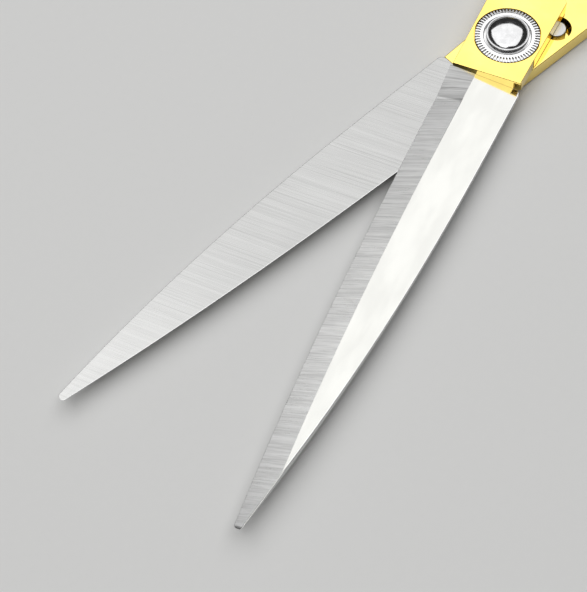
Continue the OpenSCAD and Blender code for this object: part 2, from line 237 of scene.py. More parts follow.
def combine(piece, other, operation):
    """Unites another closed skin with this one, or cuts it away, and keeps only the result."""
    step = piece.modifiers.new("combine", "BOOLEAN")
    step.object, step.operation, step.solver = other, operation, "EXACT"
    graph = bpy.context.evaluated_depsgraph_get()
    mesh = bpy.data.meshes.new_from_object(piece.evaluated_get(graph))
    piece.modifiers.clear()
    piece.data = mesh
    bpy.data.objects.remove(other)
    if not mesh.polygons:
        raise RuntimeError(f"{piece.name}: nothing is left after {operation}")
    finish_mesh(mesh)


def fit(piece, body, slot, finishes, *nodes):
    """Gives a piece its finishes and its body, and puts it in place of its frame nodes. The argument slot is
    not used.
    """
    for finish in finishes:
        piece.data.materials.append(finish)
    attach(piece, body)
    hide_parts(*nodes)


# ---- Finishes ----

class Value:
    """An output socket that can be used in arithmetic: each operator adds one Math node."""

    def __init__(self, finish, socket):
        self.finish, self.socket = finish, socket

    def math(self, operation, first, second):
        return self.finish.node("ShaderNodeMath", {"operation": operation}, {0: first, 1: second})

    def __add__(self, other): return self.math("ADD", self, other)
    def __radd__(self, other): return self.math("ADD", other, self)
    def __sub__(self, other): return self.math("SUBTRACT", self, other)
    def __rsub__(self, other): return self.math("SUBTRACT", other, self)
    def __mul__(self, other): return self.math("MULTIPLY", self, other)
    def __rmul__(self, other): return self.math("MULTIPLY", other, self)

    def between(self, start, stop):
        """0 below start and 1 above stop, with a smooth step between."""
        return self.finish.node("ShaderNodeMapRange", {"interpolation_type": "SMOOTHSTEP"},
                                {"Value": self, "From Min": start, "From Max": stop})


class Finish:
    """A procedural material on the piece's own coordinates."""

    def __init__(self, name):
        self.material = bpy.data.materials.new(name)
        self.material.use_nodes = True
        self.tree = self.material.node_tree
        self.tree.nodes.clear()

    def node(self, kind, settings=None, values=None, out=0):
        """Adds a node: its settings first, then the values or links of its sockets."""
        made = self.tree.nodes.new(kind)
        for name, setting in (settings or {}).items():
            setattr(made, name, setting)
        for name, value in (values or {}).items():
            if isinstance(value, Value):
                self.tree.links.new(value.socket, made.inputs[name])
            else:
                made.inputs[name].default_value = value
        return Value(self, made.outputs[out])

    def place(self, turn=0.0, centre=(0, 0, 0)):
        """Object coordinates in millimetres, measured from a centre along axes turned about +Z."""
        own = self.node("ShaderNodeTexCoord", out="Object")
        return self.node("ShaderNodeMapping", {"vector_type": "TEXTURE"}, {
            "Vector": own, "Location": tuple(c * MM for c in centre), "Rotation": (0, 0, turn),
            "Scale": (MM, MM, MM)})

    def stretch(self, vector, by):
        """Coordinates times a factor for each axis."""
        return self.node("ShaderNodeVectorMath", {"operation": "MULTIPLY"}, {0: vector, 1: by})

    def noise(self, vector, scale, detail=2.0, roughness=0.5):
        """Soft noise from 0 to 1, with `scale` swells for each millimetre."""
        return self.node("ShaderNodeTexNoise", {}, {
            "Vector": vector, "Scale": scale, "Detail": detail, "Roughness": roughness})

    def blend(self, share, first, second):
        """Colour between two colours."""
        first, second = [c if isinstance(c, Value) else (*c[:3], 1) for c in (first, second)]
        return self.node("ShaderNodeMix", {"data_type": "RGBA"}, {0: share, 6: first, 7: second}, out=2)

    def streaks(self, vector, swells, detail=2.0, roughness=0.5):
        """Soft noise from 0 to 1, with a number of swells for each millimetre along each axis."""
        return self.noise(self.stretch(vector, swells), 1.0, detail, roughness)

    def bump(self, height, depth):
        """Surface normal tilted by a height that runs from 0 to 1 over `depth` millimetres."""
        return self.node("ShaderNodeBump", {}, {"Strength": 1.0, "Distance": depth * MM, "Height": height})

    def surface(self, **sockets):
        """Closes the material with a Principled surface, and returns the material."""
        names = {name: name.replace("_", " ").title().replace("Ior", "IOR") for name in sockets}
        values = {names[k]: ((*v[:3], 1) if k == "base_color" and not isinstance(v, Value) else v)
                  for k, v in sockets.items()}
        shader = self.node("ShaderNodeBsdfPrincipled", {}, values)
        end = self.tree.nodes.new("ShaderNodeOutputMaterial")
        self.tree.links.new(shader.socket, end.inputs["Surface"])
        return self.material


def grain_turn(front, slant):
    """Turn about +Z of the grinding direction, given its slant from straight across the blade to its tip."""
    across = math.pi / 2 - slant
    return half_turn(front) + (-across if front else across)


def ground_steel(name, front, slant, colour, roughness, depth, contrast, tip=0.0, root=0.0, run_out=0.0):
    """Steel ground across the blade: fine noise drawn out along the grinding direction, with a few deeper
    marks. Its colour is painted brighter towards the tip and near the root by the shares tip and root, a
    painted highlight, and painted darker by the share run_out where the bevel runs out, a painted shade. The
    ranges are distances from the pivot in millimetres."""
    finish = Finish(name)
    along = finish.place(grain_turn(front, slant))
    coarse = finish.streaks(along, (0.03, 2.2, 0.3), 2.0, 0.6)
    fine = finish.streaks(along, (0.07, 5.2, 0.6), 3.0, 0.7)
    deep = finish.streaks(along, (0.05, 4.6, 0.4), 1.0).between(0.58, 0.70)
    blotch = finish.noise(along, 0.12, 2.0)
    lines = coarse * 0.35 + fine * 0.65
    tone = (lines - 0.5) * contrast * 2.0 + 0.5 - deep * contrast * 0.4 + (blotch - 0.5) * 0.25
    # dark and light carry the grinding grain; pale is the painted highlight's colour, and the first colour, a
    # quarter of the steel, is the painted shade over the bevel's run-out
    run_out_shade, dark, light, pale = [tuple(min(1.0, c * k) for c in colour) for k in (0.25, 0.80, 1.16, 1.5)]
    reach = finish.node("ShaderNodeVectorMath", {"operation": "LENGTH"}, {0: finish.place()}, out="Value")
    # Painted highlight: the colour is painted brighter beyond 46 mm towards the tip and before 34 mm near the
    # root
    painted_highlight = reach.between(46, 92) * tip + (1 - reach.between(18, 34)) * root
    ground = finish.blend(tone.between(0.05, 0.95), finish.blend(painted_highlight, dark, light),
                          finish.blend(painted_highlight, light, pale))
    blade_x = finish.node("ShaderNodeSeparateXYZ", {}, {"Vector": finish.place(half_turn(front))}, out="X")
    # Painted shade: the colour is darkened over the bevel's run-out, up to 13 mm from the pivot along the blade
    run_out_shade_share = (1 - blade_x.between(13.0, 13.5)) * (1.15 - tone * 0.3) * run_out
    return finish.surface(
        base_color=finish.blend(run_out_shade_share, ground, run_out_shade), metallic=1.0,
        roughness=roughness + (fine - 0.5) * 0.16 + (blotch - 0.5) * 0.06,
        normal=finish.bump(lines - deep * 0.4, depth))


def polished_steel(name, front, colour, roughness):
    """Polished steel with faint cloudy patches and a few hairline marks along the blade."""
    finish = Finish(name)
    along = finish.place(half_turn(front))
    clouds = finish.streaks(along, (0.12, 0.35, 0.3), 3.0)
    hair = finish.streaks(along, (0.25, 9.0, 0.8), 2.0, 0.6)
    pits = finish.noise(along, 2.2, 1.0).between(0.76, 0.82)
    dark, light = [tuple(c * k for c in colour) for k in (0.93, 1.04)]
    return finish.surface(
        base_color=finish.blend(clouds.between(0.3, 0.7) * 0.8 + (hair - 0.5) * 0.3 - pits * 0.4, dark, light),
        metallic=1.0, roughness=roughness + (clouds - 0.5) * 0.10 + (hair - 0.5) * 0.06 + pits * 0.1,
        normal=finish.bump(hair, 0.0006))


def gilt_plating(name, colour):
    """Mirror-bright gold-coloured plating with a faint swell, thin smears and hairline wear."""
    finish = Finish(name)
    own = finish.place()
    smear = finish.streaks(own, (0.16, 0.11, 0.2), 4.0, 0.55)
    swell = finish.noise(own, 0.35, 2.0)
    hair = finish.streaks(finish.place(0.6), (0.3, 8.0, 2.0), 3.0, 0.7).between(0.62, 0.80)
    deep, pale = [tuple(c * k for c, k in zip(colour, ks)) for ks in ((0.97, 0.93, 0.86), (1.0, 1.02, 1.12))]
    return finish.surface(
        base_color=finish.blend(smear.between(0.25, 0.75), deep, pale), metallic=1.0,
        roughness=0.07 + smear.between(0.45, 0.8) * 0.06 + hair * 0.05,
        normal=finish.bump(swell + hair * 0.04, 0.0016))


def turned_steel(name, colour, roughness, centre=(0, 0, 0), rings=5.0, contrast=0.5):
    """Steel faced on a lathe: noise over the distance from the axis leaves fine rings."""
    finish = Finish(name)
    own = finish.place(0.0, centre)
    flat = finish.stretch(own, (1, 1, 0))
    radius = finish.node("ShaderNodeVectorMath", {"operation": "LENGTH"}, {0: flat}, out="Value")
    across = finish.node("ShaderNodeCombineXYZ", {}, {"X": radius, "Y": 0.0, "Z": 0.0})
    lines = finish.noise(across, rings, 3.0, 0.7)
    clouds = finish.noise(own, 0.5, 3.0)
    grit = finish.noise(own, 5.0, 2.0)
    dark, light = [tuple(c * k for c in colour) for k in (0.82, 1.12)]
    tone = (lines - 0.5) * contrast * 2 + (clouds - 0.5) * 0.6 + (grit - 0.5) * 0.3 + 0.5
    return finish.surface(
        base_color=finish.blend(tone.between(0.1, 0.9), dark, light), metallic=1.0,
        roughness=roughness + (lines - 0.5) * 0.14 + (grit - 0.5) * 0.12,
        normal=finish.bump(lines * contrast + grit * 0.3, 0.0025))


def chrome(name, colour):
    """Bright chrome with small pits, a soft haze and thin wiping marks."""
    finish = Finish(name)
    own = finish.place()
    haze = finish.noise(own, 0.9, 3.0)
    pits = finish.noise(own, 4.5, 1.0).between(0.66, 0.74)
    wipe = finish.streaks(finish.place(0.9), (0.5, 7.0, 0.5))
    dark = tuple(c * 0.82 for c in colour)
    return finish.surface(
        base_color=finish.blend(haze.between(0.3, 0.7) * 0.8 + 0.2 - pits * 0.5, dark, colour), metallic=1.0,
        roughness=0.09 + haze.between(0.4, 0.75) * 0.08 + pits * 0.12 + (wipe - 0.5) * 0.05,
        normal=finish.bump(haze * 0.5 + wipe * 0.12 - pits * 0.3, 0.004))


def soft_rubber(name, colour):
    """Matte moulded rubber: fine spark-eroded grain, with a paler bloom of dust."""
    finish = Finish(name)
    own = finish.place()
    grain = finish.noise(own, 7.0, 2.0, 0.6)
    bloom = finish.noise(own, 0.35, 3.0)
    pale = tuple(min(1.0, c * 2.1 + 0.012) for c in colour)
    return finish.surface(
        base_color=finish.blend(bloom.between(0.35, 0.8) * 0.6 + (grain - 0.5) * 0.4, colour, pale),
        roughness=0.58 + (bloom - 0.5) * 0.18 + (grain - 0.5) * 0.15, specular_ior_level=0.4,
        normal=finish.bump(grain, 0.012))


def slip_plastic(name, colour):
    """Waxy low-friction plastic with faint swirls."""
    finish = Finish(name)
    own = finish.place()
    swirl = finish.noise(own, 1.1, 4.0)
    dark = tuple(c * 0.85 for c in colour)
    return finish.surface(
        base_color=finish.blend(swirl.between(0.3, 0.7), dark, colour),
        roughness=0.42 + (swirl - 0.5) * 0.2, normal=finish.bump(swirl, 0.004))


# ---- Sizes and colours that a user would change ----

def length(name, description, millimetres):
    return bpy.props.FloatProperty(name=name, description=description, default=millimetres * MM, min=0.0,
                                   precision=5, unit="LENGTH")


def angle(name, description, degrees):
    return bpy.props.FloatProperty(name=name, description=description, default=math.radians(degrees),
                                   subtype="ANGLE", unit="ROTATION")


def colour(name, description, rgb):
    return bpy.props.FloatVectorProperty(name=name, description=description, default=rgb, size=3, min=0.0,
                                         max=1.0, subtype="COLOR")


def number(name, description, value):
    return bpy.props.FloatProperty(name=name, description=description, default=value, min=0.0)


class Millimetres:
    """Reads a group's lengths in millimetres."""

    def __init__(self, group):
        self.group = group

    def __getattr__(self, name):
        return getattr(self.group, name) / MM


class ShearsBlades(bpy.types.PropertyGroup):
    reach: length("Blade length", "Distance from the pivot to the tips", 88)
    nose_w: length("Nose width", "Width across the squared nose", 1.15)
    run_out: length("Run-out", "Length over which the bevel runs out at the root", 5)
    root_rise: length("Root rise", "How far that run-out stands above the ridge at the bolster", 0.5)
    belly_x: length("Belly", "Distance from the pivot at which the spine starts to curve in", 20)
    cut_proud: length("Root width", "How far the cutting edge stands outside the bolster at the root", 0.3)
    bevel_w: length("Bevel width", "Width of the ground bevel at the root", 4.25)
    bevel_taper: length("Bevel taper", "How much narrower the bevel is at the tip", 0.7)
    edge_t: length("Edge", "Thickness left along the cutting edge", 0.05)
    hollow: length("Hollow", "Depth of the hollow ground in the inner face", 0.04)
    land: length("Ride line", "Width of the flat line beside the hollow", 0.55)
    bevel_rise: number("Bevel rise", "Rise of the bevel for each unit in from the edge", 0.33)
    back_fall: number("Back fall", "Fall of the back facet for each unit from ridge to spine", 0.12)
    bevel_slant: angle("Bevel grain", "Slant of the grinding marks on the bevel, towards the tip", 13)
    inner_slant: angle("Inner grain", "Slant of the grinding marks on the inner face", -25)
    steel: colour("Steel", "Colour of the blade steel", (0.62, 0.62, 0.612))


class ShearsHandles(bpy.types.PropertyGroup):
    half_w: length("Bolster half width", "Half the width of a bolster", 5.65)
    front_t: length("Front thickness", "Thickness of the front bolster", 2.6)
    rear_t: length("Rear thickness", "Thickness of the rear bolster", 2.7)
    front_nose: length("Front end", "Distance from the pivot to the front bolster's end beside the blade", 7.75)
    rear_nose: length("Rear end", "Distance from the pivot to the rear bolster's end beside the blade", 8.4)
    relief: length("Relief", "Depth of the undercut beside the front blade's root corner", 0.6)
    relief_w: length("Relief width", "Width of that undercut", 1.3)
    relief_cover: length("Relief cover", "Metal left above it", 0.35)
    heel_x: length("Heel", "Distance from the pivot back to the heel corner", 9.6)
    rim: length("Rim", "Size of the rounding along the bolster's outer edges", 0.1)
    inner_rim: length("Inner rim", "Size of the rounding along the bolster's inner edges", 0.2)
    recess_r: length("Recess radius", "Radius of the recess round the dial", 5.2)
    pocket_d: length("Pocket", "Diameter of the pocket round the button", 4.6)
    shank_w: length("Shank width", "Width of a shank where it leaves the bolster", 6.1)
    shank_round: length("Shank rounding", "Rounding of a shank's edges beside its ring", 2.2)
    fillet: length("Fillet", "Size of the fillet between a shank and its ring", 7)
    ring_wall: length("Ring wall", "Wall of each ring", 4.2)
    ring_h: length("Ring height", "Height of each ring", 5.4)
    end_slant: angle("End slant", "Slant of the front bolster's end", 4.5)
    gilt: colour("Gilt", "Colour of the plating", (1.0, 0.78, 0.22))


class ShearsPivot(bpy.types.PropertyGroup):
    bevel: length("Dial bevel", "Width of the serrated bevel round the dial", 0.85)
    bevel_h: length("Bevel height", "Height of that bevel", 0.1)
    tooth: length("Tooth depth", "Depth of the serrations", 0.3)
    teeth: bpy.props.IntProperty(name="Teeth", description="Number of serrations round the dial", default=60,
                                 min=12)
    groove: length("Groove", "Width of the groove between the dial and its cap", 0.37)
    rim_w: length("Cap rim", "Width of the bright rim round the cap's dome", 0.28)
    dome_h: length("Dome", "Height of the cap's dome above its rim", 0.65)
    bolt_d: length("Bolt", "Diameter of the bolt's shank", 4.4)
    flats_w: length("Flats", "Distance between the flats along the shank", 3.6)
    head_t: length("Bolt head", "Thickness of the bolt's head", 1.2)
    stem_d: length("Stem", "Diameter of the cap screw's stem", 2)
    satin: colour("Satin", "Colour of the dial", (0.83, 0.83, 0.83))
    dome: colour("Dome", "Colour of the domed cap", (0.66, 0.66, 0.665))


class ShearsFittings(bpy.types.PropertyGroup):
    insert_wall: length("Insert wall", "Thickness of the ring inserts", 1)
    rest_angle: angle("Rest place", "Where the finger rest stands round its ring", 150)
    rest_len: length("Rest length", "Length of the finger rest along its curve", 23)
    rest_d: length("Rest foot", "Diameter of the finger rest at its foot", 4)
    rest_tip_d: length("Rest tip", "Diameter of the finger rest near its tip", 3)
    rest_bend: angle("Rest bend", "How far the finger rest turns from foot to tip", 55)
    stud_d: length("Stud", "Diameter of the finger rest's stud", 2.2)
    stud_len: length("Stud length", "Length of that stud", 2.8)
    washer_t: length("Washer", "Thickness of the washer under the finger rest", 0.4)
    bumper_d: length("Bumper", "Diameter of the bumper's head", 4)
    bumper_stem_d: length("Bumper stem", "Diameter of the bumper's stem", 2.4)
    bumper_stem: length("Stem length", "Length of the bumper's stem", 2.2)
    bumper_head: length("Bumper head", "Height of the bumper's head", 1.8)
    seat: length("Seat depth", "Depth of the flat seats in the rings", 0.35)
    rubber: colour("Rubber", "Colour of the inserts and the bumper", (0.035, 0.035, 0.038))


class ShearsStage(bpy.types.PropertyGroup):
    azimuth: angle("Camera azimuth", "Direction of the camera round the shears, from +X", 43.377)
    elevation: angle("Camera elevation", "Height of the camera above the table, as an angle", 62.2)
    roll: angle("Camera roll", "Turn of the camera about its own view", -6.1)
    distance: length("Camera distance", "Distance from the camera to the point it looks at", 238.02)
    aim: bpy.props.FloatVectorProperty(name="Aim", description="Point that the camera looks at", size=3,
                                       default=(0.05418, 0.00038, 0.003), subtype="TRANSLATION", unit="LENGTH")
    lens: bpy.props.FloatProperty(name="Lens", description="Focal length of the lens", default=100.64,
                                  subtype="DISTANCE_CAMERA")
    floor: colour("Floor", "Colour of the floor", (0.80, 0.80, 0.79))
    sky: number("Surround", "Brightness of the room round the lights", 0.04)


GROUPS = {"shears_blades": ShearsBlades, "shears_handles": ShearsHandles, "shears_pivot": ShearsPivot,
          "shears_fittings": ShearsFittings, "shears_stage": ShearsStage}


# ---- Blades ----

SEAM_GAP = 0.02  # brazed joint between a blade and its bolster
RUN_GAP = 0.05  # round a turning fit
FACE_ROOM = 0.01  # at each face that another piece slides on
TANG_LEN, TANG_T = 2.4, 0.5
TANG_SHARE = 0.65  # of the bolster's half width
ROOT_ROUND, NOSE_ROUND = 0.9, 0.45
NOSE_PULL = 0.9  # share of the nose's rounding that each side takes
TIP_ROOM = 0.01  # from the tip to the frame's box
EDGE_CURVE = (0.354, 0.261, 0.385)  # shares of the edge's fall that go with u, its square and its cube
SPINE_POWER, RUN_OUT_POWER = 2.3, 1.2
FACET_MIN = 0.04  # narrowest back facet, at the tip
HOLLOW_FULL = 5  # the hollow is shallower where the blade is narrower than this
EDGE_ROUNDS = (0.01, 0.01, 0.03, 0.14, 0.08)  # two at the cutting edge, the ridge, and two at the spine


def end_of(front):
    """Distance from the pivot to a bolster's end, and the tangent of its slant. The rear one is square."""
    group = bpy.context.scene.shears_handles
    return (group.front_nose / MM, math.tan(group.end_slant)) if front else (group.rear_nose / MM, 0.0)


def pulled_in(radius, into):
    """How far a rounded corner of that radius draws an outline in, at a depth into the corner."""
    return np.where(into > 0, radius - np.sqrt(np.maximum(0, radius ** 2 - np.maximum(into, 0) ** 2)), 0)


def blade_grid(front, blade, sizes, handles):
    """Skin of one blade over stations x along it. The cutting edge's distance from the middle line falls by a
    cubic in x over the length, and the spine's by the power 2.3 beyond the belly. Each section runs from the
    cutting edge up the bevel to the ridge, down the back facet to the spine, and back over the hollow inner
    face, which is a circular dish between two flat ride lines. At the root the bevel runs out upwards, by the
    power 1.2. A tongue reaches back from the root."""
    nose_x, slant = end_of(front)
    half, seam = handles.half_w, nose_x + SEAM_GAP
    reach = blade.reach - TIP_ROOM
    quarter = np.linspace(0, math.pi / 2, 9)
    x = np.concatenate([seam + ROOT_ROUND * (1 - np.cos(quarter)),
                        np.linspace(seam + ROOT_ROUND, seam + blade.run_out, 9)[1:],
                        np.linspace(seam + blade.run_out, reach - NOSE_ROUND, 146)[1:],
                        (reach - NOSE_ROUND + NOSE_ROUND * np.sin(quarter))[1:]])
    u = x / reach
    root = half + blade.cut_proud
    cut = root - (root - blade.nose_w / 2) * sum(k * u ** n for n, k in enumerate(EDGE_CURVE, 1))
    past = np.maximum(0, x - blade.belly_x) / (reach - blade.belly_x)
    back = half - (half - blade.nose_w / 2) * past ** SPINE_POWER
    nose = pulled_in(NOSE_ROUND, x - (reach - NOSE_ROUND)) * NOSE_PULL
    cut, back = cut - nose, -back + nose + pulled_in(ROOT_ROUND, seam + ROOT_ROUND - x)
    ridge = np.maximum(cut - (blade.bevel_w - blade.bevel_taper * u), back + FACET_MIN)
    edge = blade.edge_t
    ridge_h = edge + sizes.bevel_rise * (cut - ridge)
    run = np.clip((x - seam) / blade.run_out, 0, 1)
    edge_h = mix(edge, ridge_h + blade.root_rise, (1 - run) ** RUN_OUT_POWER)
    back_h = ridge_h - sizes.back_fall * (ridge - back)
    lean = slant * (reach - x) / (reach - seam)

    def at(y, h):
        return np.stack([x + lean * y, y, h + 0 * x], axis=-1)

    zero = np.zeros_like(x)
    points = [at(cut, zero), at(cut, edge_h), at(ridge, ridge_h), at(back, back_h), at(back, zero)]
    rounds = [corner(points[k - 1], points[k], points[(k + 1) % 5], r, 4)
              for k, r in enumerate(EDGE_ROUNDS)]
    t = np.linspace(0, 1, 26)[None, 1:-1, None]
    inner = mix(rounds[4][:, -1:], rounds[0][:, :1], t)
    span = (cut - back)[:, None]
    y = (inner[..., 1] - back[:, None])
    land = np.minimum(blade.land, 0.3 * span)
    dish = np.clip(4 * (y - land) * (span - land - y) / np.maximum(span - 2 * land, 0.1) ** 2, 0, 1)
    inner[..., 2] += blade.hollow * dish * np.clip(span / HOLLOW_FULL, 0, 1)
    grid = np.concatenate([*rounds, inner], axis=1)
    tongue = grid[:1].copy()
    tongue[..., 1] = np.clip(tongue[..., 1], -TANG_SHARE * half, TANG_SHARE * half)
    tongue[..., 2] = np.clip(tongue[..., 2], TANG_T / 2, 1.5 * TANG_T)
    tongue[..., 0] = seam + slant * tongue[..., 1]
    grid = np.concatenate([tongue - [TANG_LEN, 0, 0], tongue, grid])
    grid[..., 2] = FRONT_Z + grid[..., 2] if front else REAR_Z - grid[..., 2]
    corners = rounds[0].shape[1]
    strips = np.concatenate([np.repeat([3, 0, 1, 3, 2], corners), np.full(inner.shape[1], 2)])
    return place(grid, front), strips


class SHEARS_OT_blades(bpy.types.Operator):
    """Builds the two blades, each with its ground bevel, polished back, spine and hollow inner face"""
    bl_idname = "shears.blades"
    bl_label = "Blades"

    def execute(self, context):
        group = context.scene.shears_blades
        blade, handles = Millimetres(group), Millimetres(context.scene.shears_handles)
        # One steel colour painted lighter or darker for each facet, as painted light and shade: lighter on the
        # bevel and the spine's side, darker on the hollow inner face, nearly unchanged on the back
        bevel, back, inner, side = [tuple(c * k for c, k in zip(group.steel, ks)) for ks in (
            (1.14, 1.14, 1.14), (1.03, 1.03, 1.0), (0.74, 0.74, 0.74), (1.2, 1.2, 1.2))]
        for front, name, body in ((True, "front_blade", "front_half"), (False, "rear_blade", "rear_half")):
            grid, strips = blade_grid(front, blade, group, handles)
            piece = skin(name + "_ground", grid, loop=False, strips=strips)
            fit(piece, body, "blade_steel", [
                # The shares tip and root paint highlights on the bevel and the inner face; run_out paints shade
                # over the bevel's run-out
                ground_steel(name + "_bevel", front, group.bevel_slant, bevel, 0.30, 0.003, 1.4, tip=0.60,
                             root=0.65, run_out=0.72),
                polished_steel(name + "_back", front, back, 0.14),
                ground_steel(name + "_inner", front, group.inner_slant, inner, 0.27, 0.0012, 0.5, tip=0.64),
                polished_steel(name + "_side", front, side, 0.2)], name)
        return {"FINISHED"}


# ---- Handles ----

INNER_JOIN, OUTER_JOIN = math.radians(-72), math.radians(-8)
SHANK_GAP = 0.35
# How far each bolster stands outside its half width: outer side at the end, outer side at the neck, and inner
# side at the end
FRONT_SIDES = (-0.25, 0.35, -0.25)
REAR_SIDES = (0.2, 0.8, -0.5)
HEEL_PROUD, HEEL_ROUND, NECK_ROUND, NECK_RUN, NECK_REACH = 0.1, 0.2, 0.25, 0.6, 4
NECK_LOW, NECK_HIGH = 0.3, 0.2  # room under and over a shank at its neck
RING_EASE = 0.15  # how far a shank's faces stay inside its ring's
JOIN_DEPTH = 0.6  # how far a shank runs into its ring
FLOW = 0.35  # share of a shank's length over which its curve leaves the neck
OVAL = 2.4  # power of the oval of a ring's wall
WALL_START, WALL_BULGE = 0.6, 1.38  # that oval's middle and its reach, in halves of the wall
BORE_SHOULDER, BORE_ROUND = 0.5, 0.35  # at the two ends of a ring's bore


def cubic(points, u):
    """Points of a cubic curve over four control points, at the shares u."""
    u = np.asarray(u)[:, None]
    a, b, c, d = [np.asarray(p, float)[None] for p in points]
    return (1 - u) ** 3 * a + 3 * (1 - u) ** 2 * u * b + 3 * (1 - u) * u ** 2 * c + u ** 3 * d


def handle_grid(front, sizes):
    """Skin of one bolster and its shank. Each station has an outer-side point, an inner-side point, and the
    heights of its two faces above the half's inner face. The stations follow the bolster's end, the heel corner
    and the neck, then two cubic curves that run out along the ring. Every section is a bar with rounded
    corners, whose size grows from the crisp bolster to the ring."""
    half = sizes.half_w
    nose, slant = end_of(front)
    thick = sizes.front_t if front else sizes.rear_t
    out_end, out_neck, in_end = FRONT_SIDES if front else REAR_SIDES
    heel_x, heel_y = sizes.heel_x, half + HEEL_PROUD
    neck = heel_x + heel_y + SHANK_GAP + NECK_RUN
    rim = sizes.rim

    # the bolster's end from the side: (x, height) of its outer face
    end_path = np.concatenate([[(nose, thick / 2)], rounded(((nose, 0), (nose, thick), (0, thick)), rim)])
    # the heel from above: (x, y) of its inner side, from the heel's corner to the throat at the shank
    heel, throat = (-heel_x, -heel_y), (-heel_x - heel_y - SHANK_GAP, SHANK_GAP)
    heel_path = np.concatenate([
        rounded(((nose, -half), heel, throat), HEEL_ROUND),
        rounded((heel, throat, (-neck - NECK_REACH, SHANK_GAP)), NECK_ROUND),
        [(-neck, SHANK_GAP)]])
    x = np.concatenate([end_path[:, 0], nose - sizes.inner_rim * np.array([1, 1.5]),
                        np.linspace(nose - 1, -heel_x + 1, 8), heel_path[:, 0]])
    inner = np.concatenate([np.interp(x[:-len(heel_path)], [-heel_x, nose], [-heel_y, -half - in_end]),
                            heel_path[:, 1]])
    face = np.concatenate([end_path[:, 1], np.full(len(x) - len(end_path), thick)])
    outer = half + np.interp(x, [-neck, nose], [out_neck, out_end])
    outer = mix(outer, SHANK_GAP + sizes.shank_w, ease((-x - heel_x) / (neck - heel_x)))
    lean = slant * np.clip(x / nose, 0, 1)
    sides = [np.stack([x + lean * y, y], -1) for y in (outer, inner)]

    # the shank: two curves from the neck to the ring
    out_r = RING_BORE + sizes.ring_wall
    lead = (-neck - RING[0]) * FLOW
    ends = [RING + (out_r - JOIN_DEPTH) * np.array([math.cos(a), math.sin(a)])
            for a in (OUTER_JOIN, INNER_JOIN)]
    u = np.concatenate([np.linspace(0, 0.04, 11)[1:], np.linspace(0.04, 1, 72)[1:]])
    side_y = SHANK_GAP + sizes.shank_w
    curves = [
        [(-neck, side_y), (-neck - 1.3 * lead, side_y),
         ends[0] - sizes.fillet * np.array([-math.sin(OUTER_JOIN), math.cos(OUTER_JOIN)]), ends[0]],
        [(-neck, SHANK_GAP), (-neck - lead, SHANK_GAP),
         ends[1] - 0.85 * lead * np.array([math.sin(INNER_JOIN), -math.cos(INNER_JOIN)]), ends[1]]]
    sides = [np.concatenate([side, cubic(curve, u)]) for side, curve in zip(sides, curves)]
    level = FRONT_Z if front else REAR_Z
    up = 1 if front else -1
    neck_z, ring_z = (NECK_LOW, TOP_Z - NECK_HIGH), (RING_EASE, sizes.ring_h - RING_EASE)
    near, far = [up * mix(start - level, stop - level, u) for start, stop in zip(neck_z, ring_z)][::up]
    face = np.concatenate([face, mix(thick, far, ease(u / 0.12))])
    foot = 0.9 * pulled_in(sizes.inner_rim, sizes.inner_rim - (nose - x))
    foot[0] = face[0]  # the first section is pinched flat, where the end wall's halves meet
    back = np.concatenate([foot, near * ease(u / 0.028)])
    grow = ease(np.concatenate([np.zeros(len(x)), u]) / 0.55)
    top_size, back_size = mix(rim, sizes.shank_round, grow), mix(sizes.inner_rim, sizes.shank_round, grow)
    top_size[0] = back_size[0] = rim
    corners = np.stack([np.concatenate([sides[side], height[:, None]], axis=1)
                        for side, height in ((0, back), (0, face), (1, face), (1, back))], axis=1)
    grid = soften(corners, [back_size, top_size, top_size, back_size], 7)
    grid[..., 2] = level + up * grid[..., 2]
    return place(grid, front)


def ring_grid(front, sizes):
    """Skin of one finger ring: a squared-off oval wall carried round a cylindrical bore."""
    mid, middle = sizes.ring_wall / 2, sizes.ring_h / 2
    a = np.radians(np.linspace(-80, 80, 41))

    def oval(c):
        return np.sign(c) * np.abs(c) ** (2 / OVAL)

    outer = np.stack([RING_BORE + mid * (WALL_START + WALL_BULGE * oval(np.cos(a))),
                      middle + middle * oval(np.sin(a))], -1)
    top, foot = outer[-1], outer[0]
    bore = [(RING_BORE, sizes.ring_h - BORE_SHOULDER), (RING_BORE, BORE_SHOULDER)]
    rounds = [rounded(path, BORE_ROUND, 5) for path in ((top, bore[0], bore[1]), (bore[0], bore[1], foot))]
    grid = lathe(np.concatenate([outer, *rounds]), 192)
    return place(grid + [RING[0], RING[1], 0], front)


def seat_axes(front, sizes):
    """Corner and axes of the seat in a ring's outer wall: the bumper's on the front half, the finger rest's on
    the rear. The third axis points straight out of the ring."""
    out = RING_BORE + sizes.ring_wall
    a = -math.pi / 2 if front else bpy.context.scene.shears_fittings.rest_angle
    radial = np.array([math.cos(a), math.sin(a), 0])
    origin = np.array([RING[0], RING[1], sizes.ring_h / 2]) + out * radial
    return origin, np.array([0, 0, -1.0]), np.array([-radial[1], radial[0], 0]), radial


def at_seat(grid, front, sizes):
    """Places a grid drawn about a seat's own upright axis."""
    origin, first, second, third = seat_axes(front, sizes)
    return place(origin + grid[..., :1] * first + grid[..., 1:2] * second + grid[..., 2:] * third, front)


def cutter(corners, turns=96):
    """Grid of a stepped round cutting tool."""
    return lathe(np.array(corners, float), turns)


def end_tool(front, x, y, h):
    """Grid of a flat cutting tool at a bolster's end, along its slant: x from its end, y and h from the half's
    inner face."""
    nose, slant = end_of(front)
    x = nose + np.array(x)[:, None]
    y = np.array([[y[0], y[1], y[1], y[0]]])
    h = np.array([[h[0], h[0], h[1], h[1]]])
    z = FRONT_Z + h if front else REAR_Z - h
    return place(np.stack([x + slant * y, y + 0 * x, z + 0 * x], -1), front)


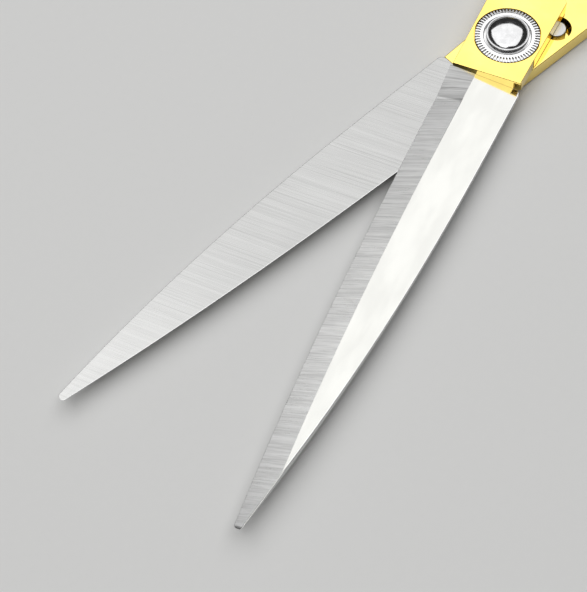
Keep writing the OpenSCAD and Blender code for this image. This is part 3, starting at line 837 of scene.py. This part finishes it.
class SHEARS_OT_handles(bpy.types.Operator):
    """Builds the two handle halves, each with its bolster, shank and ring, and cuts their seats"""
    bl_idname = "shears.handles"
    bl_label = "Handles"

    def execute(self, context):
        sizes = Millimetres(context.scene.shears_handles)
        pivot = Millimetres(context.scene.shears_pivot)
        fittings = Millimetres(context.scene.shears_fittings)
        gilt = gilt_plating("gilt_plating", tuple(context.scene.shears_handles.gilt))
        deep = -fittings.seat
        for front, name, body in ((True, "front_handle", "front_half"), (False, "rear_handle", "rear_half")):
            piece = skin(name + "_cast", handle_grid(front, sizes), loop=False, pinched=True)
            combine(piece, skin(name + "_ring", ring_grid(front, sizes)), "UNION")
            if front:
                bush = BUSH_R + SEAM_GAP
                pivot_cut = [(0, 2), (bush, 2), (bush, GLIDE_Z), (sizes.recess_r, GLIDE_Z),
                             (sizes.recess_r, TOP_Z + 0.1), (0, TOP_Z + 0.1)]
                stem, wide = fittings.bumper_stem_d / 2 + SEAM_GAP, fittings.bumper_d / 2 + 0.1
                depth = deep - fittings.bumper_stem - SEAM_GAP
                more = [skin("relief_tool", end_tool(front, (-sizes.relief, 1), (
                    -sizes.half_w - 1, sizes.relief_w - sizes.half_w), (
                    -1, sizes.front_t - sizes.relief_cover)), loop=False)]
            else:
                key, head = pivot.bolt_d / 2 + SEAM_GAP, HEAD_R + SEAM_GAP
                pivot_cut = [(0, -1), (head + 0.3, -1), (head + 0.3, 0.2), (head, 0.45), (head, pivot.head_t),
                             (key, pivot.head_t), (key, THRUST_Z), (THRUST_R + RUN_GAP, THRUST_Z),
                             (THRUST_R + RUN_GAP, REAR_Z + 1), (0, REAR_Z + 1)]
                stem, wide = fittings.stud_d / 2 + SEAM_GAP, fittings.rest_d / 2 + 0.3
                depth = deep - fittings.stud_len - SEAM_GAP
                pocket = sizes.pocket_d / 2
                more = [skin("pocket", place(cutter([
                    (0, BUTTON_Z[0]), (pocket - 0.15, BUTTON_Z[0]), (pocket, BUTTON_Z[0] + 0.15),
                    (pocket, REAR_Z - 0.04), (pocket + 0.14, REAR_Z + 0.1), (0, REAR_Z + 0.1)])
                    + [BUTTON[0], BUTTON[1], 0], front))]
            seat_cut = [(0, depth), (stem, depth), (stem, deep), (wide, deep), (wide, 3), (0, 3)]
            slot = TANG_SHARE * sizes.half_w + SEAM_GAP
            tools = [skin("pivot_tool", cutter(pivot_cut, 160)),
                     skin("seat_tool", at_seat(cutter(seat_cut), front, sizes)),
                     skin("slot_tool", end_tool(front, (-TANG_LEN - SEAM_GAP, 1), (-slot, slot), (
                         TANG_T / 2 - SEAM_GAP, 1.5 * TANG_T + SEAM_GAP)), loop=False), *more]
            combine(piece, joined("tools", tools), "DIFFERENCE")
            fit(piece, body, "gilt", [gilt], name)
        return {"FINISHED"}


# ---- Tension dial ----

TOOTH_STEPS = 10  # points round each tooth
NOTCH_HALF, NOTCH_RAMP = 0.22, 0.12  # a notch's half width and the run of its side, in teeth
NOTCH_PULL = 0.3  # share of a notch's depth by which it also draws the bevel in
NOTCH_END, NOTCH_FADE = 0.98, 0.4  # where a notch ends on the bevel and how it fades, in bevel widths
NOTCH_FLOOR = 0.12  # height above the dial's foot at which the notches stop
DOME_POWER, DOME_SHARE = 2.7, 0.75  # how steeply the cap's dome drops to its rim
DOME_FOOT = 0.12  # how far the dome starts below its rim


class SHEARS_OT_tension_dial(bpy.types.Operator):
    """Builds the serrated tension dial and the domed cap screw in its middle"""
    bl_idname = "shears.tension_dial"
    bl_label = "Tension Dial"

    def execute(self, context):
        group = context.scene.shears_pivot
        pivot = Millimetres(group)
        bore, hole = CAP_R + pivot.groove, pivot.bolt_d / 2 + RUN_GAP
        shoulder = DIAL_TOP - pivot.bevel_h
        corners = [(hole, DIAL_Z), (DIAL_R, DIAL_Z), (DIAL_R, shoulder), (DIAL_R - pivot.bevel, DIAL_TOP),
                   (bore, DIAL_TOP), (bore - 0.12, CAP_Z - 0.02), (hole, CAP_Z - 0.02)]
        profile = outline(corners, [0.03, 0.05, 0.06, 0.05, 0.06, 0.03, 0.03], 4)
        # more points up the bevel, where the serrations run out
        steps = np.linspace((DIAL_R, shoulder), (DIAL_R - pivot.bevel, DIAL_TOP), 9)[1:-1]
        split = int(np.argmin(np.linalg.norm(profile - steps[0], axis=1)))
        profile = np.concatenate([profile[:split + 1], steps[1:-1], profile[split + 1:]])
        grid = lathe(profile, group.teeth * TOOTH_STEPS)
        turn = np.linspace(0, 2 * math.pi, group.teeth * TOOTH_STEPS, endpoint=False)[:, None]
        off = np.abs(((turn * group.teeth / (2 * math.pi)) % 1) - 0.5)
        notch = np.clip((NOTCH_HALF - off) / NOTCH_RAMP, 0, 1)
        radius, height = profile[None, :, 0], profile[None, :, 1]
        reach = ease((radius - (DIAL_R - pivot.bevel * NOTCH_END)) / (pivot.bevel * NOTCH_FADE))
        reach = reach * (height > DIAL_Z + NOTCH_FLOOR)
        cut = pivot.tooth * notch * reach
        out = grid[..., :2] / np.maximum(radius[..., None], 1e-6)
        grid[..., :2] -= NOTCH_PULL * out * cut[..., None]
        grid[..., 2] -= cut
        dial = skin("tension_dial_serrated", grid)
        fit(dial, "dial", "dial_satin", [turned_steel("dial_satin", tuple(group.satin), 0.24, rings=3.5,
                                                      contrast=0.35)], "tension_dial")

        # the cap: stem, side wall, a rim with a bright bead, and a dome that drops steeply to the rim
        stem, inside = pivot.stem_d / 2, CAP_R - pivot.rim_w
        rim_top = CAP_TOP - pivot.dome_h
        rim = outline([(0, STEM_Z), (stem, STEM_Z), (stem, CAP_Z), (CAP_R, CAP_Z), (CAP_R, rim_top),
                       (inside, rim_top), (inside, rim_top - DOME_FOOT), (0, rim_top - DOME_FOOT)],
                      [0, 0.1, 0.05, 0.04, 0.12, 0.10, 0.04, 0], 6)
        rim = rim[:-len(rim) // 8]
        t = np.linspace(0, 1, 40)
        rise = (1 - (1 - t) ** DOME_POWER) ** DOME_SHARE
        dome = np.stack([(inside - 0.01) * (1 - t),
                         rim_top - DOME_FOOT + (pivot.dome_h + DOME_FOOT) * rise], -1)
        profile = np.concatenate([rim, dome])
        cap = skin("cap_screw_domed", lathe(profile, 160))
        fit(cap, "rear_half", "dome_chrome", [chrome("dome_chrome", tuple(group.dome))], "cap_screw")
        return {"FINISHED"}


# ---- Pivot bolt, button and the hidden washers ----

class SHEARS_OT_pivot(bpy.types.Operator):
    """Builds the pivot bolt and the ride button, and finishes the bush and washers between them"""
    bl_idname = "shears.pivot"
    bl_label = "Pivot"

    def execute(self, context):
        pivot = Millimetres(context.scene.shears_pivot)
        steel = (0.72, 0.72, 0.73)
        shank, stem = pivot.bolt_d / 2, pivot.stem_d / 2 + 0.02
        profile = outline([(0, 0), (HEAD_R, 0), (HEAD_R, pivot.head_t), (shank, pivot.head_t), (shank, CAP_Z),
                           (stem, CAP_Z), (stem, STEM_Z - 0.02), (0, STEM_Z - 0.02)],
                          [0, 0.22, 0.05, 0, 0.08, 0.05, 0.02, 0], 5)
        grid = lathe(profile, 128)
        flat = (grid[..., 2] > pivot.head_t - 0.001) & (np.hypot(grid[..., 0], grid[..., 1]) < shank + 0.01)
        half = pivot.flats_w / 2
        grid[..., 1] = np.where(flat, np.clip(grid[..., 1], -half, half), grid[..., 1])
        bolt = skin("pivot_bolt_turned", place(grid, False))
        fit(bolt, "rear_half", "bolt_steel", [turned_steel("bolt_steel", steel, 0.24)], "pivot_bolt")

        low_z, top_z = BUTTON_Z
        t = np.linspace(0, 1, 14)
        crown = np.stack([(BUTTON_R - 0.2) * (1 - t), top_z - 0.05 * (1 - t) ** 2], -1)
        body = outline([(0, low_z), (BUTTON_R, low_z), (BUTTON_R, top_z - 0.06), (0, top_z - 0.05)],
                       [0, 0.1, 0.18, 0], 5)
        share = len(body) // 4
        button = np.concatenate([[(0, low_z)], body[share:3 * share], crown])
        centre = place(np.array([BUTTON[0], BUTTON[1], 0.0]), False)
        piece = skin("ride_button_ground", place(lathe(button, 96) + [BUTTON[0], BUTTON[1], 0], False))
        fit(piece, "rear_half", "button_steel", [turned_steel("button_steel", (0.58, 0.58, 0.58), 0.30,
                                                              centre=tuple(centre))], "ride_button")

        # the bush and the round washers leave a little room on each bearing face
        spring = turned_steel("spring_steel", (0.45, 0.46, 0.48), 0.28)
        bore = shank + RUN_GAP
        for node, body, slot, finish in (
                ("pivot_bush", "front_half", "bush_bronze", turned_steel("bronze", (0.62, 0.42, 0.22), 0.36)),
                ("thrust_washer", "rear_half", "thrust_plastic", slip_plastic("dark_slip", (0.20, 0.20, 0.21))),
                ("glide_washer", "front_half", "glide_plastic", slip_plastic("pale_slip", (0.90, 0.90, 0.86))),
                ("spring_washer", "rear_half", "spring_steel", spring)):
            wide, foot, top = high(node)[0], low(node)[2] + FACE_ROOM, high(node)[2] - FACE_ROOM
            ring = outline([(bore, foot), (wide, foot), (wide, top), (bore, top)], [0.03] * 4)
            fit(skin(node + "_turned", lathe(ring)), body, slot, [finish], node)
        click = frame["nodes"]["click_washer"]
        if not click.material_slots:
            click.data.materials.append(spring)
        for slot in click.material_slots:
            slot.material = spring
        return {"FINISHED"}


# ---- Ring inserts, bumper and finger rest ----

TIP_FROM = 0.93  # share of the finger rest at which its rounded tip starts
REST_BEND = 0.997  # share of the full bend, which keeps the tip inside the frame's box
COLLAR, TIP_BULGE = (0.12, 0.035, 0.022), (0.03, 0.9, 0.06)  # height, place and width, the last two as shares


class SHEARS_OT_fittings(bpy.types.Operator):
    """Builds the soft ring inserts, the stop bumper, and the finger rest with its washer"""
    bl_idname = "shears.fittings"
    bl_label = "Inserts, Bumper and Finger Rest"

    def execute(self, context):
        group = context.scene.shears_fittings
        parts, sizes = Millimetres(group), Millimetres(context.scene.shears_handles)
        rubber = soft_rubber("soft_rubber", tuple(group.rubber))

        # insert: a bulging inner side with three shallow grooves round it
        a = np.linspace(math.radians(84), math.radians(-84), 97)
        outer = RING_BORE - SEAM_GAP
        grooves = sum(np.exp(-((np.sin(a) - at) / 0.055) ** 2) for at in (-0.45, 0.0, 0.45))
        inside = np.stack([outer - parts.insert_wall * (0.4 + 0.6 * np.cos(a)) + 0.10 * grooves,
                           RING_Z + INSERT_H / 2 * np.sin(a) / math.sin(a[0])], -1)
        edges = [rounded(path, 0.12, 3) for path in (
            (inside[-1], (outer, RING_Z - INSERT_H / 2), (outer, RING_Z)),
            ((outer, RING_Z), (outer, RING_Z + INSERT_H / 2), inside[0]))]
        profile = np.concatenate([inside, *edges])
        for front, name, body in ((True, "thumb_insert", "front_half"), (False, "finger_insert", "rear_half")):
            grid = place(lathe(profile, 160) + [RING[0], RING[1], 0], front)
            fit(skin(name + "_moulded", grid), body, "soft_rubber", [rubber], name)

        # bumper: a stem and a low mushroom head with a moulded ridge
        deep, stem, head = -parts.seat, parts.bumper_stem_d / 2, parts.bumper_d / 2
        top = deep + parts.bumper_head
        end = deep - parts.bumper_stem
        body = outline([(0, end), (stem, end), (stem, deep), (head, deep), (head, top), (0, top)],
                       [0, 0.25, 0.05, 0.12, 0.75, 0], 8)
        bumper = skin("stop_bumper_moulded", at_seat(lathe(body, 96), True, sizes))
        fit(bumper, "front_half", "soft_rubber", [rubber], "stop_bumper")

        # washer under the finger rest
        foot, bore = deep + parts.washer_t, parts.stud_d / 2 + SEAM_GAP
        wide = parts.rest_d / 2 + 0.15
        ring = outline([(bore, deep), (wide, deep), (wide, foot), (bore, foot)], [0.05, 0.12, 0.12, 0.05], 5)
        washer = skin("rest_washer_moulded", at_seat(lathe(ring, 96), False, sizes))
        fit(washer, "rear_half", "soft_rubber", [rubber], "rest_washer")

        # finger rest: a stud, a small collar and a horn on an arc, tapering to a rounded tip
        u = np.sin(np.linspace(0, math.pi / 2, 90))
        bend = parts.rest_len / group.rest_bend
        tip = np.sqrt(np.maximum(4e-4, 1 - (np.maximum(0, u - TIP_FROM) / (1 - TIP_FROM)) ** 2))
        r = mix(parts.rest_d, parts.rest_tip_d, np.sin(u * math.pi / 2)) / 2 - FACE_ROOM
        r = (r + sum(rise * np.exp(-((u - at) / wide) ** 2) for rise, at, wide in (COLLAR, TIP_BULGE))) * tip
        stud = parts.stud_d / 2
        end = deep - parts.stud_len
        start = np.array([(end, stud - 0.15), (end + 0.15, stud), (foot, stud), (foot, r[0] - 0.1)])
        turn = np.concatenate([np.zeros(len(start)), group.rest_bend * REST_BEND * u])[:, None]
        radius = np.concatenate([start[:, 1], r])[:, None]
        rise = np.concatenate([start[:, 0], np.full(len(u), foot)])[:, None]
        around = np.linspace(0, 2 * math.pi, 48, endpoint=False)[None]
        off = bend + radius * np.cos(around)
        grid = np.stack([radius * np.sin(around), bend - off * np.cos(turn), rise + off * np.sin(turn)], -1)
        rest = skin("finger_rest_horn", at_seat(grid, False, sizes), loop=False)
        fit(rest, "rear_half", "gilt", [bpy.data.materials["gilt_plating"]], "finger_rest")
        return {"FINISHED"}


# ---- Stage ----

FLOOR_HALF, FLOOR_Z = 1.5, -0.02 * MM
# Each light's azimuth and elevation in degrees, distance and size in metres, and brightness
LIGHTS = {"key": (-145, 75, 0.60, 0.90, 1.5), "fill": (13, 65, 0.60, 0.30, 1.8)}


def facing(aim, azimuth, elevation, distance):
    """Place and turn of something at a distance from the aim point, which looks at that point."""
    way = Vector((math.cos(elevation) * math.cos(azimuth), math.cos(elevation) * math.sin(azimuth),
                  math.sin(elevation)))
    return Matrix.Translation(aim + way * distance) @ way.to_track_quat("Z", "Y").to_matrix().to_4x4()


def softbox(name, azimuth, elevation, distance, size, brightness, aim):
    """A square panel of light that faces the aim point, with a given brightness in reflections."""
    data = bpy.data.lights.new(name, "AREA")
    data.shape, data.size = "SQUARE", size
    data.energy = brightness * math.pi * size * size
    lamp = bpy.data.objects.new(name, data)
    bpy.context.scene.collection.objects.link(lamp)
    lamp.matrix_world = facing(aim, math.radians(azimuth), math.radians(elevation), distance)


class SHEARS_OT_stage(bpy.types.Operator):
    """Lays the pale floor, hangs the lights and sets up the camera"""
    bl_idname = "shears.stage"
    bl_label = "Stage"

    def execute(self, context):
        scene, stage = context.scene, context.scene.shears_stage
        mesh = bpy.data.meshes.new("floor")
        mesh.from_pydata([(x * FLOOR_HALF, y * FLOOR_HALF, FLOOR_Z)
                          for x, y in ((-1, -1), (1, -1), (1, 1), (-1, 1))], [], [(0, 1, 2, 3)])
        floor = bpy.data.objects.new("floor", mesh)
        scene.collection.objects.link(floor)
        finish = Finish("floor_paper")
        own = finish.place()
        fibre = finish.noise(own, 0.8, 3.0)
        pale = tuple(stage.floor)
        mesh.materials.append(finish.surface(
            base_color=finish.blend(fibre, tuple(c * 0.98 for c in pale), pale),
            roughness=0.85 + (fibre - 0.5) * 0.1, specular_ior_level=0.2))

        world = bpy.data.worlds.new("room")
        world.use_nodes = True
        backdrop = world.node_tree.nodes["Background"]
        backdrop.inputs["Color"].default_value = (1, 1, 1, 1)
        backdrop.inputs["Strength"].default_value = stage.sky
        scene.world = world
        aim = Vector(stage.aim)
        for name, numbers in LIGHTS.items():
            softbox(name, *numbers, aim)

        data = bpy.data.cameras.new("camera")
        data.lens, data.sensor_width, data.sensor_fit = stage.lens, 36, "AUTO"
        data.clip_start, data.clip_end = 0.005, 20
        camera = bpy.data.objects.new("camera", data)
        scene.collection.objects.link(camera)
        camera.matrix_world = (facing(aim, stage.azimuth, stage.elevation, stage.distance)
                               @ Matrix.Rotation(stage.roll, 4, "Z"))
        scene.camera = camera
        scene.view_settings.view_transform = "Standard"
        return {"FINISHED"}


OPERATORS = [SHEARS_OT_blades, SHEARS_OT_handles, SHEARS_OT_tension_dial, SHEARS_OT_pivot, SHEARS_OT_fittings,
             SHEARS_OT_stage]


class SHEARS_PT_panel(bpy.types.Panel):
    """Lists the pieces of the shears and their sizes"""
    bl_idname = "SHEARS_PT_panel"
    bl_label = "Hair Shears"
    bl_space_type = "VIEW_3D"
    bl_region_type = "UI"
    bl_category = "Shears"

    def draw(self, context):
        for operator in OPERATORS:
            self.layout.operator(operator.bl_idname)
        for name, kind in GROUPS.items():
            box = self.layout.box()
            for prop in kind.__annotations__:
                box.prop(getattr(context.scene, name), prop)


def register():
    for kind in (*GROUPS.values(), *OPERATORS, SHEARS_PT_panel):
        bpy.utils.register_class(kind)
    for name, kind in GROUPS.items():
        setattr(bpy.types.Scene, name, bpy.props.PointerProperty(type=kind))


def unregister():
    for name in GROUPS:
        delattr(bpy.types.Scene, name)
    for kind in reversed((*GROUPS.values(), *OPERATORS, SHEARS_PT_panel)):
        bpy.utils.unregister_class(kind)


def main():
    register()
    for step in (bpy.ops.shears.blades, bpy.ops.shears.handles, bpy.ops.shears.tension_dial,
                 bpy.ops.shears.pivot, bpy.ops.shears.fittings, bpy.ops.shears.stage):
        step()


if __name__ == "__main__":
    main()
